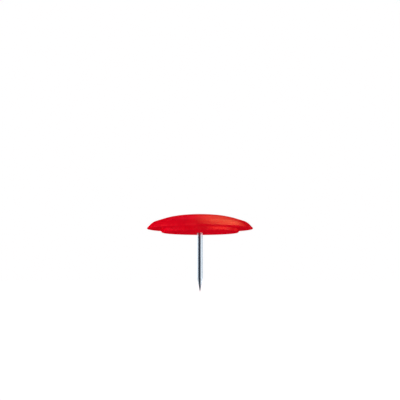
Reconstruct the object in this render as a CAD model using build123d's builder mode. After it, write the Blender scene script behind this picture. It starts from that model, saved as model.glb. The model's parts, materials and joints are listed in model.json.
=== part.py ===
from build123d import *
import os
from math import sqrt

# A push pin with a wide domed head, in millimetres. Z = 0 is the face that comes to rest
# on the board. The nail points down the -Z axis and the thumb presses on the dome above.

# Dome cap: the shell that the thumb presses
head_diameter = 20.0  # across the rim
rim_land = 0.15  # upright edge of the rim, under the bevel
rim_break = 0.05  # both corners of the land
bevel_width = 1.0  # bevel between rim and dome, seen from above
bevel_height = 1.22  # from the underside of the rim up to the dome
dome_rise = 1.48  # crown of the dome above the bevel
dome_edge_radius = 2.1  # between bevel and dome
crown_sphere = 36.5  # the crown is flatter than the flank around it
crown_share = 0.635  # how far out the crown reaches on the dome
crown_turn_radius = 15.0  # between crown and flank
crown_wall = 1.1  # plastic over the hollow
post_diameter = 2.4  # lower end of the post that bears on the nail's head
post_root_diameter = 3.0  # where the post leaves the crown

# Base disc: the step under the rim, with the plug that snaps into the cap
step_diameter = 14.8  # where the step meets the rim
step_height = 0.7  # from the board to the underside of the rim
step_taper = 0.1  # how far the step draws in towards the board
step_edge_radius = 0.25  # lower outer edge of the step
plate_thickness = 0.7  # floor between hub and plug
plug_diameter = 13.0
plug_height = 0.68  # above the underside of the rim
plug_wall = 0.9
plug_clearance = 0.03  # between plug and socket, on the radius
plug_headroom = 0.1  # between the plug's top and the end of its socket
lead_in = 0.1  # chamfers that start the plug into its socket
ridge_height = 0.1  # how far the snap ridge stands out of the plug
ridge_length = 0.34  # foot of the ridge, up the axis
hub_diameter = 5.0  # boss around the nail's head
nail_ledge = 0.45  # plastic between the plate and the nail's head
rib_count = 6
rib_width = 0.6
rib_height = 0.4
rib_root = 0.2  # how deep a rib runs into hub and plug
recess_diameter = 9.2  # shallow relief in the underside, so that the outer ring seats flat
recess_depth = 0.12
recess_slope = 0.08  # how far its edges slope, seen from below
collar_diameter = 2.6  # ring left standing around the shank

# Steel pin: a headed wire nail
wire_diameter = 1.1
shank_length = 11.0  # from the board face to the tip
point_length = 2.4
tip_diameter = 0.08  # blunt end of the ground point
nail_head_diameter = 3.2
nail_head_thickness = 0.5
nail_head_break = 0.12  # upper edge of the nail's head
grip_count = 3  # rings that key the shank into the plastic, up from the board face
grip_pitch = 0.25
grip_height = 0.06

# Levels up the axis
rim_z = step_height
land_z = rim_z + rim_land
bevel_z = rim_z + bevel_height
crown_z = bevel_z + dome_rise
nail_seat_z = plate_thickness + nail_ledge
nail_top_z = nail_seat_z + nail_head_thickness
tip_z = -shank_length
point_z = tip_z + point_length

# Radii
rim_r = head_diameter / 2
dome_r = rim_r - bevel_width
crown_r = dome_r * crown_share
post_r = post_diameter / 2
post_root_r = post_root_diameter / 2
step_r = step_diameter / 2
plug_r = plug_diameter / 2
plug_bore_r = plug_r - plug_wall
socket_r = plug_r + plug_clearance
hub_r = hub_diameter / 2
recess_r = recess_diameter / 2
collar_r = collar_diameter / 2
wire_r = wire_diameter / 2
grip_r = wire_r + grip_height
nail_head_r = nail_head_diameter / 2
tip_r = tip_diameter / 2

# The plug fills its socket, with the snap ridge half way up
plug_top_z = rim_z + plug_height
socket_top_z = plug_top_z + plug_headroom
ridge_z = rim_z + plug_height / 2
ridge_low_z = ridge_z - ridge_length / 2
ridge_high_z = ridge_z + ridge_length / 2

# The crown is a slice of a sphere, and so is the hollow above the socket
crown_edge_z = crown_z - crown_sphere + sqrt(crown_sphere**2 - crown_r**2)
hollow_z = crown_z - crown_wall
hollow_rise = hollow_z - socket_top_z
hollow_sphere = (socket_r**2 + hollow_rise**2) / (2 * hollow_rise)
post_root_z = hollow_z - hollow_sphere + sqrt(hollow_sphere**2 - post_root_r**2)

# Steel pin: wire with a cold-formed flat head, grip rings and a ground point
with BuildPart() as steel_pin:
    with BuildSketch(Plane.XZ) as pin_section:
        with BuildLine():
            Polyline(
                (0, tip_z),
                (tip_r, tip_z),
                (wire_r, point_z),
                (wire_r, nail_seat_z),
                (nail_head_r, nail_seat_z),
                (nail_head_r, nail_top_z),
                (0, nail_top_z),
                close=True,
            )
        make_face()
        nail_head_corner = pin_section.vertices().sort_by_distance((nail_head_r, nail_top_z))[0]
        chamfer(nail_head_corner, length=nail_head_break)
    revolve(axis=Axis.Z)
    with Locations(*[(0, 0, grip_pitch * ring) for ring in range(grip_count)]):
        Cone(wire_r, grip_r, grip_pitch, align=(Align.CENTER, Align.CENTER, Align.MIN))

# Base disc: moulded around the nail, which leaves its own print in the hub
with BuildPart() as base_disc:
    with BuildSketch(Plane.XZ) as base_section:
        with BuildLine():
            Polyline(
                (0, 0),
                (collar_r, 0),
                (collar_r + recess_slope, recess_depth),
                (recess_r - recess_slope, recess_depth),
                (recess_r, 0),
                (step_r - step_taper, 0),
                (step_r, rim_z),
                (plug_r, rim_z),
                (plug_r, ridge_low_z),
                (plug_r + ridge_height, ridge_z),
                (plug_r, ridge_high_z),
                (plug_r, plug_top_z),
                (plug_bore_r, plug_top_z),
                (plug_bore_r, plate_thickness),
                (hub_r, plate_thickness),
                (hub_r, nail_top_z),
                (0, nail_top_z),
                close=True,
            )
        make_face()
        step_corner = base_section.vertices().sort_by_distance((step_r - step_taper, 0))[0]
        fillet(step_corner, radius=step_edge_radius)
        plug_corner = base_section.vertices().sort_by_distance((plug_r, plug_top_z))[0]
        chamfer(plug_corner, length=lead_in)
    revolve(axis=Axis.Z)
    # Ribs from hub to plug
    with BuildSketch(Plane.XY.offset(plate_thickness)):
        with PolarLocations((hub_r + plug_bore_r) / 2, rib_count):
            Rectangle(plug_bore_r - hub_r + 2 * rib_root, rib_width)
    extrude(amount=rib_height)
    # The nail's own print
    add(steel_pin.part, mode=Mode.SUBTRACT)

# Dome cap: a moulded shell with a socket for the plug and a post that bears on the nail
with BuildPart() as dome_cap:
    with BuildSketch(Plane.XZ) as cap_section:
        with BuildLine():
            Polyline(
                (socket_r, rim_z),
                (rim_r, rim_z),
                (rim_r, land_z),
                (dome_r, bevel_z),
                (crown_r, crown_edge_z),
            )
            RadiusArc((crown_r, crown_edge_z), (0, crown_z), -crown_sphere)
            Polyline(
                (0, crown_z),
                (0, nail_top_z),
                (post_r, nail_top_z),
                (post_root_r, post_root_z),
            )
            RadiusArc((post_root_r, post_root_z), (socket_r, socket_top_z), hollow_sphere)
            Polyline(
                (socket_r, socket_top_z),
                (socket_r, ridge_high_z),
                (socket_r + ridge_height, ridge_z),
                (socket_r, ridge_low_z),
                (socket_r, rim_z),
            )
        make_face()
        land_corners = cap_section.vertices().group_by(Axis.X)[-1]
        chamfer(land_corners, length=rim_break)
        dome_corner = cap_section.vertices().sort_by_distance((dome_r, bevel_z))[0]
        fillet(dome_corner, radius=dome_edge_radius)
        crown_corner = cap_section.vertices().sort_by_distance((crown_r, crown_edge_z))[0]
        fillet(crown_corner, radius=crown_turn_radius)
        socket_corner = cap_section.vertices().sort_by_distance((socket_r, rim_z))[0]
        chamfer(socket_corner, length=lead_in)
    revolve(axis=Axis.Z)

dome_cap.part.label = "dome_cap"
base_disc.part.label = "base_disc"
steel_pin.part.label = "steel_pin"

os.makedirs("parts", exist_ok=True)
export_step(dome_cap.part, "parts/dome_cap.step")
export_step(base_disc.part, "parts/base_disc.step")
export_step(steel_pin.part, "parts/steel_pin.step")
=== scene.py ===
import bmesh
import bpy
import json
import math
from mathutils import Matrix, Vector


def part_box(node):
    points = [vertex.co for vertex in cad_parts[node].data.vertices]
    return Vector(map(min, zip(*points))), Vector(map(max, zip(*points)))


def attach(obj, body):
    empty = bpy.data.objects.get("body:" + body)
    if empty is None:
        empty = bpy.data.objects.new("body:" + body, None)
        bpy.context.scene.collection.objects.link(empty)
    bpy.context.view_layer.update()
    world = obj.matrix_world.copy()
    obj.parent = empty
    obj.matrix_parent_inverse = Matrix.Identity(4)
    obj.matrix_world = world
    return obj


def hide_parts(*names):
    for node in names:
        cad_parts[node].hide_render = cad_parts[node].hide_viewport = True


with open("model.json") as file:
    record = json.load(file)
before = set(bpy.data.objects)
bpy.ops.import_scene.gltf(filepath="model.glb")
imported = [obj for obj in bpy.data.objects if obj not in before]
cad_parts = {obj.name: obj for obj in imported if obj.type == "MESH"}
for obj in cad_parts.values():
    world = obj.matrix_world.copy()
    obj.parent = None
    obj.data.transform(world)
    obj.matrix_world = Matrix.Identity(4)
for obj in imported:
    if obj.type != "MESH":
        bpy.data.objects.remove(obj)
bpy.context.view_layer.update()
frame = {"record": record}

mm = 0.001
fullTurn = 2 * math.pi
capLow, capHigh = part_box("dome_cap")
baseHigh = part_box("base_disc")[1]
pinLow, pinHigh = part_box("steel_pin")
shank = next(m for m in frame["record"]["mounts"] if m["name"] == "shank")

meshing = {
    "pick": 0.002 * mm,  # how near a vertex lies to the corner that is asked for
    "merge": 0.0005 * mm,
    "smooth": math.radians(38),  # sharper edges stay sharp
}


# nothing selected, nothing open
def startClean():
    if bpy.context.mode != "OBJECT":
        bpy.ops.object.mode_set(mode="OBJECT")
    bpy.ops.object.select_all(action="DESELECT")


# a small plane shrinks to one vertex, which is then pulled along the section
def drawSection(name, points):
    startClean()
    bpy.ops.mesh.primitive_plane_add(size=mm)
    piece = bpy.context.object
    piece.name = piece.data.name = name
    bpy.ops.object.mode_set(mode="EDIT")
    bpy.ops.mesh.merge(type="CENTER")
    bpy.ops.transform.translate(value=(points[0][0], 0, points[0][1]))
    for (r0, z0), (r1, z1) in zip(points, points[1:]):
        bpy.ops.mesh.extrude_vertices_move(TRANSFORM_OT_translate={"value": (r1 - r0, 0, z1 - z0)})
    return piece


# one corner of the section, rounded; reach is how far the round runs along both sides
def roundCorner(piece, corner, reach, steps):
    spot = Vector((corner[0], 0, corner[1]))
    cage = bmesh.from_edit_mesh(piece.data)
    for vert in cage.verts:
        vert.select = (vert.co - spot).length < meshing["pick"]
    cage.select_flush_mode()
    bmesh.update_edit_mesh(piece.data)
    bpy.ops.mesh.bevel(offset=reach, segments=steps, affect="VERTICES")


# the section goes once round the axis, seam and poles are merged
def spinSection(piece, steps):
    bpy.ops.mesh.select_all(action="SELECT")
    bpy.ops.mesh.spin(steps=steps, angle=fullTurn, center=(0, 0, 0), axis=(0, 0, 1))
    bpy.ops.mesh.select_all(action="SELECT")
    bpy.ops.mesh.remove_doubles(threshold=meshing["merge"])
    bpy.ops.mesh.normals_make_consistent(inside=False)
    bpy.ops.object.mode_set(mode="OBJECT")


# points of an arc about middle, angles are measured from straight up
def arcPoints(middle, radius, fromAngle, toAngle, rings):
    points = []
    for i in range(rings + 1):
        a = fromAngle + (toAngle - fromAngle) * i / rings
        points.append((middle[0] + radius * math.sin(a), middle[1] + radius * math.cos(a)))
    return points


# the selected piece larger or smaller, about the origin
def scalePiece(piece, factor):
    piece.scale = (factor, factor, factor)
    bpy.ops.object.transform_apply(location=True, rotation=True, scale=True)


# smooth faces, with flats that stay flat beside their rounded edges
def smoothPiece(piece):
    startClean()
    piece.select_set(True)
    bpy.context.view_layer.objects.active = piece
    bpy.ops.object.shade_smooth_by_angle(angle=meshing["smooth"])
    scalePiece(piece, 1 / mm)  # weighted normals ignore faces as small as these are in metres
    bpy.ops.object.modifier_add(type="WEIGHTED_NORMAL")
    piece.modifiers[-1].keep_sharp = True
    bpy.ops.object.modifier_apply(modifier=piece.modifiers[-1].name)
    scalePiece(piece, mm)


# heights and radii that the pieces share
rimZ, crownZ, rimR = capLow.z, capHigh.z, capHigh.x
stepR, hubTopZ = baseHigh.x, baseHigh.z
nailHeadR, tipZ = pinHigh.x, pinLow.z
wireR = shank["dims"]["r_mm"] * mm
pointZ = -shank["dims"]["length_mm"] * mm
plugFit = {
    "plugR": 6.5 * mm,  # the plug that snaps into the cap
    "clearance": 0.03 * mm,
    "height": 0.68 * mm,
    "headroom": 0.1 * mm,
    "ridgeOut": 0.1 * mm,  # snap ridge and its groove
    "ridgeLong": 0.34 * mm,
    "leadIn": 0.1 * mm,
}
plugTopZ = rimZ + plugFit["height"]
ridgeZ = rimZ + plugFit["height"] / 2
ridgeLowZ = ridgeZ - plugFit["ridgeLong"] / 2
ridgeHighZ = ridgeZ + plugFit["ridgeLong"] / 2


# cap: low dome, bevelled rim, hollow below with a post on the nail's head
capLook = {
    "bevelWide": 1.0 * mm,
    "bevelHigh": 1.22 * mm,
    "rimLand": 0.15 * mm,
    "edgeRound": 0.05 * mm,  # both corners of the rim
    "edgeSteps": 5,
    "domeRound": 2.1 * mm,  # radius where bevel and flank meet
    "domeSteps": 10,
    "crownSphere": 36.5 * mm,
    "crownRings": 16,
    "crownShare": 0.635,  # how far out the crown reaches
    "crownTurn": 15.0 * mm,  # radius between crown and flank
    "turnRings": 10,
    "wall": 1.1 * mm,
    "hollowRings": 14,
    "postR": 1.2 * mm,
    "postRootR": 1.5 * mm,
    "steps": 240,
}


# crown, its turn and the straight flank, down to where the bevel starts
def domePoints(look, domeR, bevelZ):
    sphere, turn = look["crownSphere"], look["crownTurn"]
    middle = Vector((0, crownZ - sphere))
    crownR = domeR * look["crownShare"]
    crownEdge = middle + Vector((crownR, math.sqrt(sphere**2 - crownR**2)))
    flank = (Vector((domeR, bevelZ)) - crownEdge).normalized()
    outwards = Vector((-flank.y, flank.x))
    # the turn's middle lies turn below the flank and sphere - turn from the crown's middle
    start = crownEdge - outwards * turn - middle
    along = start.dot(flank)
    slide = -along - math.sqrt(along**2 - start.length_squared + (sphere - turn) ** 2)
    turnMiddle = middle + start + flank * slide
    leaves = math.atan2(turnMiddle.x - middle.x, turnMiddle.y - middle.y)
    meets = math.atan2(outwards.x, outwards.y)
    crown = arcPoints(middle, sphere, 0, leaves, look["crownRings"])
    turned = arcPoints(turnMiddle, turn, leaves, meets, look["turnRings"])
    return crown + turned[1:] + [(domeR, bevelZ)], meets


def makeCap(look):
    bevelZ = rimZ + look["bevelHigh"]
    landZ = rimZ + look["rimLand"]
    domeR = rimR - look["bevelWide"]
    socketR = plugFit["plugR"] + plugFit["clearance"]
    socketTopZ = plugTopZ + plugFit["headroom"]
    hollowZ = crownZ - look["wall"]
    hollowRise = hollowZ - socketTopZ
    hollowSphere = (socketR**2 + hollowRise**2) / (2 * hollowRise)
    lead = plugFit["leadIn"]
    outside, flankSlope = domePoints(look, domeR, bevelZ)
    bevelSlope = math.atan2(bevelZ - landZ, look["bevelWide"])
    rim = [(rimR, landZ), (rimR, rimZ), (socketR + lead, rimZ), (socketR, rimZ + lead)]
    groove = [(socketR, ridgeLowZ), (socketR + plugFit["ridgeOut"], ridgeZ), (socketR, ridgeHighZ)]
    wide = math.asin(socketR / hollowSphere)
    narrow = math.asin(look["postRootR"] / hollowSphere)
    hollowMiddle = (0, hollowZ - hollowSphere)
    inside = arcPoints(hollowMiddle, hollowSphere, wide, narrow, look["hollowRings"])
    post = [(look["postR"], hubTopZ), (0, hubTopZ)]
    cap = drawSection("domeCap", outside + rim + groove + inside + post)
    domeReach = look["domeRound"] * math.tan((bevelSlope - flankSlope) / 2)
    roundCorner(cap, (domeR, bevelZ), domeReach, look["domeSteps"])
    for corner in rim[:2]:
        roundCorner(cap, corner, look["edgeRound"], look["edgeSteps"])
    spinSection(cap, look["steps"])
    return cap


domeCap = makeCap(capLook)
print("cap turned,", len(domeCap.data.polygons), "faces")


# grip rings along the shank, which also print into the base
gripLook = {"count": 3, "pitch": 0.25 * mm, "out": 0.06 * mm}


def gripPoints(look):
    points = [(wireR, 0)]
    for ring in range(look["count"]):
        top = look["pitch"] * (ring + 1)
        points += [(wireR + look["out"], top), (wireR, top)]
    return points


# base: the step under the rim, its relief below, plug, hub and ribs above
baseLook = {
    "taper": 0.1 * mm,
    "stepRound": 0.22 * mm,  # lower edge of the step
    "roundSteps": 8,
    "plate": 0.7 * mm,
    "plugWall": 0.9 * mm,
    "hubR": 2.5 * mm,
    "nailLedge": 0.45 * mm,
    "reliefR": 4.6 * mm,
    "reliefDeep": 0.12 * mm,
    "reliefSlope": 0.08 * mm,
    "collarR": 1.3 * mm,
    "softEdge": 0.03 * mm,  # small rounds of the relief
    "softSteps": 3,
    "ribs": 6,
    "ribWide": 0.6 * mm,
    "ribHigh": 0.4 * mm,
    "ribRoot": 0.2 * mm,  # how far a rib runs into hub and plug
    "ribSunk": 0.2 * mm,  # and into the plate
    "steps": 240,
}


def makeRibs(look):
    inner = look["hubR"] - look["ribRoot"]
    outer = plugFit["plugR"] - look["plugWall"] + look["ribRoot"]
    high = look["ribHigh"] + look["ribSunk"]
    middle = ((inner + outer) / 2, 0, look["plate"] - look["ribSunk"] + high / 2)
    startClean()
    bpy.ops.mesh.primitive_cube_add(size=1, location=middle)
    ribs = bpy.context.object
    ribs.name = "ribs"
    bpy.ops.transform.resize(value=(outer - inner, look["ribWide"], high))
    bpy.ops.object.transform_apply(location=True, rotation=True, scale=True)
    bpy.ops.object.mode_set(mode="EDIT")
    bpy.ops.mesh.select_all(action="SELECT")
    turn = fullTurn / look["ribs"]
    for i in range(look["ribs"] - 1):
        bpy.ops.mesh.duplicate()
        bpy.ops.transform.rotate(value=turn, orient_axis="Z", center_override=(0, 0, 0))
    bpy.ops.object.mode_set(mode="OBJECT")
    return ribs


def makeBase(look):
    plugR, out, lead = plugFit["plugR"], plugFit["ridgeOut"], plugFit["leadIn"]
    plugBoreR = plugR - look["plugWall"]
    nailSeatZ = look["plate"] + look["nailLedge"]
    slope = look["reliefSlope"]
    under = [
        (look["collarR"], 0),
        (look["collarR"] + slope, look["reliefDeep"]),
        (look["reliefR"] - slope, look["reliefDeep"]),
        (look["reliefR"], 0),
        (stepR - look["taper"], 0),
        (stepR, rimZ),
    ]
    plug = [
        (plugR, rimZ),
        (plugR, ridgeLowZ),
        (plugR + out, ridgeZ),
        (plugR, ridgeHighZ),
        (plugR, plugTopZ - lead),
        (plugR - lead, plugTopZ),
        (plugBoreR, plugTopZ),
        (plugBoreR, look["plate"]),
    ]
    hub = [
        (look["hubR"], look["plate"]),
        (look["hubR"], hubTopZ),
        (nailHeadR, hubTopZ),
        (nailHeadR, nailSeatZ),
        (wireR, nailSeatZ),
    ]
    base = drawSection("baseDisc", under + plug + hub + gripPoints(gripLook)[::-1] + under[:1])
    for corner in under[1:4]:
        roundCorner(base, corner, look["softEdge"], look["softSteps"])
    roundCorner(base, under[4], look["stepRound"], look["roundSteps"])
    spinSection(base, look["steps"])
    ribs = makeRibs(look)
    startClean()
    base.select_set(True)
    bpy.context.view_layer.objects.active = base
    bpy.ops.object.modifier_add(type="BOOLEAN")
    weld = base.modifiers[-1]
    weld.operation, weld.solver, weld.object = "UNION", "EXACT", ribs
    bpy.ops.object.modifier_apply(modifier=weld.name)
    bpy.data.objects.remove(ribs)
    return base


baseDisc = makeBase(baseLook)
print("base turned,", len(baseDisc.data.polygons), "faces")


# pin: headed wire with a ground point
pinLook = {
    "headThick": 0.5 * mm,
    "headEdge": 0.12 * mm,
    "tipR": 0.04 * mm,
    "tipRound": 0.02 * mm,
    "tipSteps": 3,
    "pointRound": 0.1 * mm,  # where the point leaves the wire
    "pointSteps": 4,
    "steps": 128,
}


def makePin(look):
    topZ = pinHigh.z
    seatZ = topZ - look["headThick"]
    point = [(0, tipZ), (look["tipR"], tipZ), (wireR, pointZ)]
    head = [(wireR, seatZ), (nailHeadR, seatZ), (nailHeadR, topZ - look["headEdge"])]
    top = [(nailHeadR - look["headEdge"], topZ), (0, topZ)]
    pin = drawSection("steelPin", point + gripPoints(gripLook) + head + top)
    roundCorner(pin, point[1], look["tipRound"], look["tipSteps"])
    roundCorner(pin, point[2], look["pointRound"], look["pointSteps"])
    spinSection(pin, look["steps"])
    return pin


steelPin = makePin(pinLook)
steelPin.visible_glossy = False  # no mirror image of the wire under the base
print("pin turned,", len(steelPin.data.polygons), "faces")

for piece in (domeCap, baseDisc, steelPin):
    smoothPiece(piece)


# a value on its way between nodes; sums on it add Math nodes
class Flow:
    def __init__(self, paint, socket):
        self.paint, self.socket = paint, socket

    def sums(self, operation, a, b):
        return self.paint.node("ShaderNodeMath", {"operation": operation}, {0: a, 1: b})

    def __add__(self, other):
        return self.sums("ADD", self, other)

    def __sub__(self, other):
        return self.sums("SUBTRACT", self, other)

    def __rsub__(self, other):
        return self.sums("SUBTRACT", other, self)

    def __mul__(self, other):
        return self.sums("MULTIPLY", self, other)

    def __truediv__(self, other):
        return self.sums("DIVIDE", self, other)

    def __pow__(self, other):
        return self.sums("POWER", self, other)

    __radd__, __rmul__ = __add__, __mul__


class Paint:
    def __init__(self, tree):
        self.tree = tree

    # any node: its type, its settings, then the values or links of its sockets
    def node(self, kind, settings=None, sockets=None, out=0):
        made = self.tree.nodes.new(kind)
        for key, value in (settings or {}).items():
            setattr(made, key, value)
        for key, value in (sockets or {}).items():
            if isinstance(value, Flow):
                self.tree.links.new(value.socket, made.inputs[key])
            else:
                made.inputs[key].default_value = value
        return Flow(self, made.outputs[out]) if made.outputs else None

    def mixColour(self, share, a, b):
        return self.node("ShaderNodeMix", {"data_type": "RGBA"}, {0: share, 6: a, 7: b}, out=2)

    # 0 below low, 1 above high, soft in between
    def ramp(self, value, low, high):
        return self.node(
            "ShaderNodeMapRange",
            {"interpolation_type": "SMOOTHSTEP"},
            {"Value": value, "From Min": low, "From Max": high},
        )

    # Blender's noise lies about 0.5, this one swings about 0
    def noise(self, place, scale=1.0, detail=3.0):
        sockets = {"Vector": place, "Scale": scale, "Detail": detail}
        return self.node("ShaderNodeTexNoise", None, sockets) - 0.5

    # noise over any values, each with its own scale
    def noiseOver(self, values, scales, detail=3.0):
        place = {axis: value * scale for axis, (value, scale) in enumerate(zip(values, scales))}
        return self.noise(self.node("ShaderNodeCombineXYZ", None, place), detail=detail)

    # hairlines: noise drawn out in one direction, of which only the narrow peaks are kept
    def hairlines(self, place, line, peaks):
        turn = (0, 0, math.radians(line["turn"]))
        size = (line["long"], line["thin"], line["thin"])
        sockets = {"Vector": place, "Rotation": turn, "Scale": size}
        drawnOut = self.node("ShaderNodeMapping", {"vector_type": "TEXTURE"}, sockets)
        return self.ramp(self.noise(drawnOut, detail=1.0), *peaks)


# a start value, plus each pattern times its share
def weigh(start, patterns, shares):
    for name, share in shares.items():
        start = start + patterns[name] * share
    return start


def newMaterial(name):
    material = bpy.data.materials.new(name)
    material.use_nodes = True
    material.node_tree.nodes.clear()
    return material, Paint(material.node_tree)


# object coordinates in millimetres, and each axis by itself
def placeInMm(paint):
    metres = paint.node("ShaderNodeTexCoord", out="Object")
    place = paint.node("ShaderNodeVectorMath", {"operation": "SCALE"}, {0: metres, "Scale": 1 / mm})
    apart = [paint.node("ShaderNodeSeparateXYZ", None, {0: place}, out=axis) for axis in "XYZ"]
    return place, apart


# patterns are in millimetres, a scale counts per millimetre
plasticLook = {
    "deepRed": (0.50, 0.0003, 0.0108, 1),
    "freshRed": (0.82, 0.0010, 0.0155, 1),
    "wornRed": (0.88, 0.0600, 0.0750, 1),  # hairlines and handled edges
    "tone": 0.5,  # half way from deep to fresh
    "toneBy": {"cloud": 0.5, "flow": 0.5, "grain": 0.7},
    "wornBy": {"edge": 0.05, "scratch": 0.18},
    "rough": 0.22,
    "roughBy": {"cloud": 0.08, "flow": 0.1, "rings": 0.3, "scratch": 0.15, "edge": 0.12},
    "gloss": 0.18,  # share of the moulded skin in the finish
    "glossBy": {"cloud": 0.06},
    "heightBy": {"grain": 1, "flow": 1, "rings": 2, "scratch": -1},
    "bump": {"Strength": 0.5, "Distance": 0.004 * mm},
    "cloudScale": 0.35,
    "grainScale": 4.0,  # pigment
    "ringScales": (2.6, 2.6),  # left by the turned mould
    "ringDetail": 2.0,
    "flowScales": (9, 9, 0.12),  # melt that ran outwards from the gate
    "gateR": 0.4,
    "flowReach": (1.0, 6.0),
    "handled": (-0.02, 0.1),  # clouds that count as handled
    "hairlines": ({"long": 4.5, "thin": 0.08, "turn": 25}, {"long": 5.5, "thin": 0.1, "turn": -50}),
    "hairlinePeaks": (0.2, 0.26),
    "wearWide": 0.3,  # how far in the rim is worn
    "wearPatches": (-0.08, 0.12),
}


def redPlastic(look):
    material, paint = newMaterial("redPlastic")
    place, (x, y, z) = placeInMm(paint)
    radius = (x * x + y * y) ** 0.5
    fromGate = radius + look["gateR"]
    cloud = paint.noise(place, look["cloudScale"])
    streak = paint.noiseOver((x / fromGate, y / fromGate, radius), look["flowScales"])
    first, second = (paint.hairlines(place, line, look["hairlinePeaks"]) for line in look["hairlines"])
    rim = paint.ramp(radius, rimR / mm - look["wearWide"], rimR / mm)
    patterns = {
        "cloud": cloud,
        "flow": streak * paint.ramp(radius, *look["flowReach"]),
        "grain": paint.noise(place, look["grainScale"]),
        "rings": paint.noiseOver((radius, z), look["ringScales"], look["ringDetail"]),
        "scratch": (first + second) * paint.ramp(cloud, *look["handled"]),
        "edge": rim * paint.ramp(streak, *look["wearPatches"]),
    }
    red = paint.mixColour(weigh(look["tone"], patterns, look["toneBy"]), look["deepRed"], look["freshRed"])
    colour = paint.mixColour(weigh(0, patterns, look["wornBy"]), red, look["wornRed"])
    rough = weigh(look["rough"], patterns, look["roughBy"])
    height = weigh(0, patterns, look["heightBy"])
    bump = paint.node("ShaderNodeBump", None, {**look["bump"], "Height": height})
    shared = {"Base Color": colour, "Roughness": rough, "Normal": bump}
    body = paint.node("ShaderNodeBsdfPrincipled", None, {**shared, "Specular IOR Level": 0.0})
    skin = paint.node("ShaderNodeBsdfPrincipled", None, shared)
    gloss = weigh(look["gloss"], patterns, look["glossBy"])
    finish = paint.node("ShaderNodeMixShader", None, {0: gloss, 1: body, 2: skin})
    paint.node("ShaderNodeOutputMaterial", None, {"Surface": finish})
    return material


steelLook = {
    "plate": (0.62, 0.655, 0.70, 1),
    "worn": (0.50, 0.53, 0.57, 1),
    "plated": 0.5,  # half way from worn to plate
    "platedBy": {"drawn": 0.5, "cloud": 0.5},
    "ground": (0.36, 0.38, 0.41, 1),  # bare steel of the point
    "bare": 0.65,  # how much of the point is bare
    "bareBy": {"grinding": 0.7},
    "tip": (0.07, 0.073, 0.078, 1),  # near black towards the tip
    "tipDarkening": 0.8,
    "tipFull": 0.4,  # the dark tip's full reach above its end
    "tipGone": 0.5,  # and where it is gone, below the start of the point
    "rough": 0.17,
    "roughBy": {"cloud": 0.08, "lines": 0.08, "point": 0.04},
    "bump": {"Strength": 0.3, "Distance": 0.002 * mm},
    "cloudScale": 1.6,
    "drawnScales": (22, 22, 0.5),  # lines that the die left along the wire
    "grindScales": (2, 2, 30),  # marks across the point
    "pointUneven": 0.3,  # the ground point's edge wanders and fades
    "pointFade": 0.1,
}


def platedSteel(look):
    material, paint = newMaterial("platedSteel")
    place, (x, y, z) = placeInMm(paint)
    pointStart, tipEnd = pointZ / mm, tipZ / mm
    drawn = paint.noiseOver((x, y, z), look["drawnScales"])
    grinding = paint.noiseOver((x, y, z), look["grindScales"])
    cloud = paint.noise(place, look["cloudScale"])
    edge = z + cloud * look["pointUneven"]
    point = 1 - paint.ramp(edge, pointStart - look["pointFade"], pointStart + look["pointFade"])
    tip = 1 - paint.ramp(z, tipEnd + look["tipFull"], pointStart - look["tipGone"])
    lines = drawn + point * (grinding - drawn)
    patterns = {"drawn": drawn, "grinding": grinding, "cloud": cloud, "point": point, "lines": lines}
    plated = paint.mixColour(weigh(look["plated"], patterns, look["platedBy"]), look["worn"], look["plate"])
    bare = point * weigh(look["bare"], patterns, look["bareBy"])
    ground = paint.mixColour(bare, plated, look["ground"])
    # the point turns near black towards its tip
    colour = paint.mixColour(tip * look["tipDarkening"], ground, look["tip"])
    rough = weigh(look["rough"], patterns, look["roughBy"])
    bump = paint.node("ShaderNodeBump", None, {**look["bump"], "Height": lines})
    body = paint.node(
        "ShaderNodeBsdfPrincipled",
        None,
        {"Base Color": colour, "Roughness": rough, "Normal": bump, "Metallic": 1.0},
    )
    paint.node("ShaderNodeOutputMaterial", None, {"Surface": body})
    return material


headRed = redPlastic(plasticLook)
wireGrey = platedSteel(steelLook)
for piece, node, finish, slot in (
    (domeCap, "dome_cap", headRed, "head_plastic"),
    (baseDisc, "base_disc", headRed, "head_plastic"),
    (steelPin, "steel_pin", wireGrey, "plated_steel"),
):
    piece.data.materials.clear()
    piece.data.materials.append(finish)
    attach(piece, "root")
    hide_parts(node)
print("pieces painted")


# floor at the tip, pale and plain
floorLook = {
    "wide": 3.0,
    "finish": {
        "Base Color": (0.3, 0.3, 0.3, 1),
        "Roughness": 0.8,
        "Emission Color": (1, 1, 1, 1),
        "Emission Strength": 0.92,
    },
}
startClean()
bpy.ops.mesh.primitive_plane_add(size=floorLook["wide"], location=(0, 0, tipZ))
floor = bpy.context.object
floor.name = "floor"
# for the camera alone, because panels also stand lower than the floor
floor.visible_diffuse = floor.visible_glossy = floor.visible_shadow = False
floorWhite, floorPaint = newMaterial("floorWhite")
floorBody = floorPaint.node("ShaderNodeBsdfPrincipled", None, floorLook["finish"])
floorPaint.node("ShaderNodeOutputMaterial", None, {"Surface": floorBody})
floorWhite.cycles.emission_sampling = "NONE"  # its glow is no lamp
floor.data.materials.append(floorWhite)

# studio: white to the camera, even fill on the pin, nothing of it in reflections
skyLook = {"fill": (0.68, 0.44, 0.47, 1), "white": (1, 1, 1, 1)}
sky = bpy.data.worlds.new("studio")
bpy.context.scene.world = sky
sky.cycles_visibility.glossy = False
sky.cycles.sampling_method = "NONE"
sky.use_nodes = True
sky.node_tree.nodes.clear()
skyPaint = Paint(sky.node_tree)
seen = skyPaint.node("ShaderNodeLightPath", out="Is Camera Ray")
skyColour = skyPaint.mixColour(seen, skyLook["fill"], skyLook["white"])
skyGlow = skyPaint.node("ShaderNodeBackground", None, {"Color": skyColour})
skyPaint.node("ShaderNodeOutputWorld", None, {"Surface": skyGlow})

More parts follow.
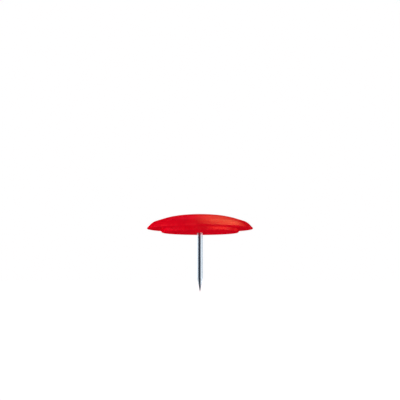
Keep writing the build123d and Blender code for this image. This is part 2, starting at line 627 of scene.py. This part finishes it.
# soft panels round the pin; azimuth 0 is the camera's side, 90 the right, 180 behind
white, pale, cool = (1, 1, 1), (0.90, 0.96, 1.0), (0.55, 0.75, 1.0)
warm, rosy, pink = (1.0, 0.37, 0.15), (1.0, 0.18, 0.11), (1.0, 0.4, 0.7)
coral, ruby = (1.0, 0.06, 0.05), (1.0, 0.0, 0.05)
# highlights on the plastic
headPanels = {
    "stepPanel": dict(azimuth=62, elevation=-7, far=0.2, wide=0.44, high=0.18, glow=24.0, tint=rosy),
    "domePanel": dict(azimuth=171, elevation=34, far=0.25, wide=0.1, high=0.17, glow=3.5, tint=warm),
    "shoulderPanel": dict(azimuth=158, elevation=50, far=0.25, wide=0.16, high=0.2, glow=3.2, tint=warm),
    "bevelPanel": dict(azimuth=125, elevation=61, far=0.25, wide=0.26, high=0.34, glow=20.5, tint=warm),
    "backPanel1": dict(azimuth=45, elevation=36, far=0.25, wide=0.16, high=0.18, glow=5.0, tint=warm),
    "backPanel2": dict(azimuth=-28, elevation=40, far=0.25, wide=0.16, high=0.18, glow=5.0, tint=warm),
    "backPanel3": dict(azimuth=-75, elevation=36, far=0.25, wide=0.16, high=0.18, glow=5.0, tint=warm),
    "crestPanel": dict(azimuth=183, elevation=40, far=0.25, wide=0.14, high=0.1, glow=7.0, tint=ruby),
    "sheenPanel": dict(azimuth=6, elevation=-5, far=0.25, wide=0.3, high=0.18, glow=2.6, tint=rosy),
    "endPanel1": dict(azimuth=120, elevation=-7, far=0.2, wide=0.2, high=0.18, glow=8.0, tint=coral),
    "endPanel2": dict(azimuth=-112, elevation=-7, far=0.2, wide=0.2, high=0.18, glow=7.0, tint=ruby),
}
# what the wire mirrors; the dim front panel is its dark stripe
wirePanels = {
    "rightPanel": dict(azimuth=56, elevation=15, far=0.25, wide=0.34, high=0.23, glow=1.3, tint=pale),
    "rearPanel": dict(azimuth=132, elevation=0, far=0.25, wide=0.56, high=0.4, glow=1.06, tint=pale),
    "leftPanel": dict(azimuth=-126, elevation=0, far=0.25, wide=0.68, high=0.4, glow=1.48, tint=pale),
    "rightLowPanel": dict(azimuth=58, elevation=-28, far=0.25, wide=0.3, high=0.18, glow=1.3, tint=pale),
    "rearLowPanel": dict(azimuth=110, elevation=-28, far=0.26, wide=0.32, high=0.19, glow=1.3, tint=pale),
    "frontPanel": dict(azimuth=-30, elevation=0, far=0.25, wide=0.4, high=0.4, glow=0.09, tint=cool),
    "lowPanel": dict(azimuth=0, elevation=-90, far=0.2, wide=0.4, high=0.4, glow=0.6, tint=pale),
    "highPanel": dict(azimuth=0, elevation=90, far=0.2, wide=0.4, high=0.4, glow=0.8, tint=pale),
}
# light on the plastic's colour, without a highlight
fillPanels = {
    "underPanel": dict(azimuth=0, elevation=-90, far=0.2, wide=0.4, high=0.4, glow=0.3, tint=white),
    "facePanel": dict(azimuth=5, elevation=-16, far=0.3, wide=0.3, high=0.16, glow=1.15, tint=pink),
    "keyPanel": dict(azimuth=-84, elevation=0, far=0.3, wide=0.3, high=0.26, glow=2.4, tint=pink),
    "topPanel": dict(azimuth=180, elevation=52, far=0.3, wide=0.2, high=0.2, glow=2.5, tint=pink),
}
fadeLook = {"middle": (0.5, 0.5, 0), "full": 0.05, "gone": 0.5}  # in shares of the panel
headMiddle = Vector((0, 0, rimZ))


def addPanel(name, panel):
    turn, lift = math.radians(panel["azimuth"]), math.radians(panel["elevation"])
    away = Vector((math.sin(turn) * math.cos(lift), -math.cos(turn) * math.cos(lift), math.sin(lift)))
    startClean()
    bpy.ops.object.light_add(type="AREA", location=headMiddle + away * panel["far"])
    light = bpy.context.object
    light.name = name
    light.rotation_euler = away.to_track_quat("Z", "Y").to_euler()
    light.data.shape = "RECTANGLE"
    light.data.size, light.data.size_y = panel["wide"], panel["high"]
    light.data.energy = panel["glow"] * math.pi * panel["wide"] * panel["high"]
    light.data.color = panel["tint"]
    light.visible_camera = False
    return light


# a panel that shows in reflections alone, on these pieces alone
def mirrorOnly(light, pieces):
    light.visible_diffuse = False
    light.light_linking.receiver_collection = pieces


# brightest in the middle, nothing at the edges
def fadeEdges(lamp):
    lamp.use_nodes = True
    lamp.node_tree.nodes.clear()
    paint = Paint(lamp.node_tree)
    spot = paint.node("ShaderNodeNewGeometry", out="Parametric")
    ends = {0: spot, 1: fadeLook["middle"]}
    outwards = paint.node("ShaderNodeVectorMath", {"operation": "DISTANCE"}, ends, out="Value")
    strength = 1 - paint.ramp(outwards, fadeLook["full"], fadeLook["gone"])
    glow = paint.node("ShaderNodeEmission", None, {"Strength": strength})
    paint.node("ShaderNodeOutputLight", None, {"Surface": glow})


def groupPieces(name, pieces):
    group = bpy.data.collections.new(name)
    for piece in pieces:
        group.objects.link(piece)
    return group


headPieces = groupPieces("head", (domeCap, baseDisc))
wirePieces = groupPieces("wire", (steelPin,))
for name, panel in headPanels.items():
    light = addPanel(name, panel)
    mirrorOnly(light, headPieces)
    fadeEdges(light.data)
for name, panel in wirePanels.items():
    mirrorOnly(addPanel(name, panel), wirePieces)
for name, panel in fillPanels.items():
    addPanel(name, panel).visible_glossy = False

# camera a little below the rim, as in the photograph
cameraLook = {
    "below": 4.0,  # degrees under the rim
    "up": 6.25,  # degrees that it looks up
    "far": 140 * mm,
    "frameWide": 75.8 * mm,  # what the picture takes in at that distance
    "sensor": 36.0,
    "clipNear": 5 * mm,
}
below = math.radians(cameraLook["below"])
startClean()
bpy.ops.object.camera_add(
    location=headMiddle + cameraLook["far"] * Vector((0, -math.cos(below), -math.sin(below))),
    rotation=(math.radians(90 + cameraLook["up"]), 0, 0),
)
camera = bpy.context.object
camera.data.sensor_width = cameraLook["sensor"]
camera.data.lens = cameraLook["sensor"] * cameraLook["far"] / cameraLook["frameWide"]
camera.data.clip_start = cameraLook["clipNear"]
bpy.context.scene.camera = camera
bpy.context.scene.view_settings.view_transform = "Standard"
bpy.context.scene.cycles.denoising_input_passes = "RGB_ALBEDO"  # normals left grain in the highlights
print("floor, panels and camera placed")
